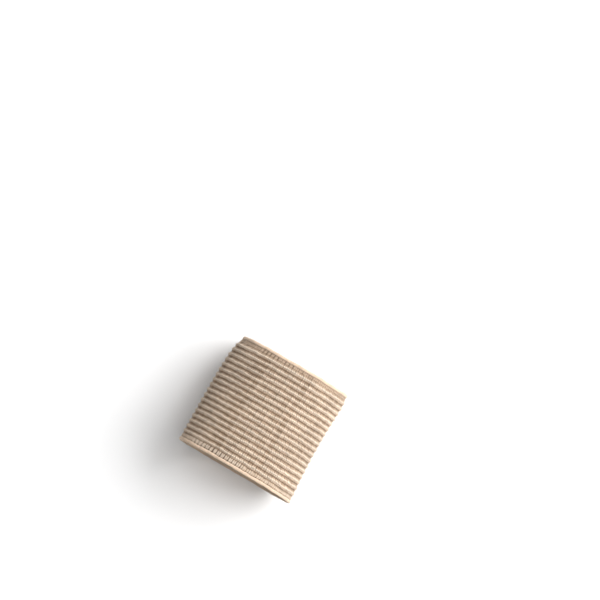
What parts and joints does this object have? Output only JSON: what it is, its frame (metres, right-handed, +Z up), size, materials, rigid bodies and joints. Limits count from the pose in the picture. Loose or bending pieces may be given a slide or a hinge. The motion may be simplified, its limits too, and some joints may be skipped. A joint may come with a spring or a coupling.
{
  "type": "wrist support",
  "caption": "Ribbed elastic knit sleeve worn round the wrist as a support, with a flat ladder strip and a rolled edge at each end.",
  "frame": {"origin": "on the table, under the middle of the sleeve as it lies on its palm side", "axes": "+X along the sleeve from the forearm end to the hand end, +Y across to the thumb side, +Z up to the back of the wrist"},
  "size_m": [0.0658, 0.0702, 0.0507],
  "materials": {
    "ribbed_knit": "soft matt ribbed elastic knit",
    "edge_yarn": "matt rolled yarn, a little paler than the knit"
  },
  "bodies": {
    "root": {"ribbed_sleeve": "ribbed_knit", "arm_edge": "edge_yarn", "hand_edge": "edge_yarn"}
  },
  "joints": []
}
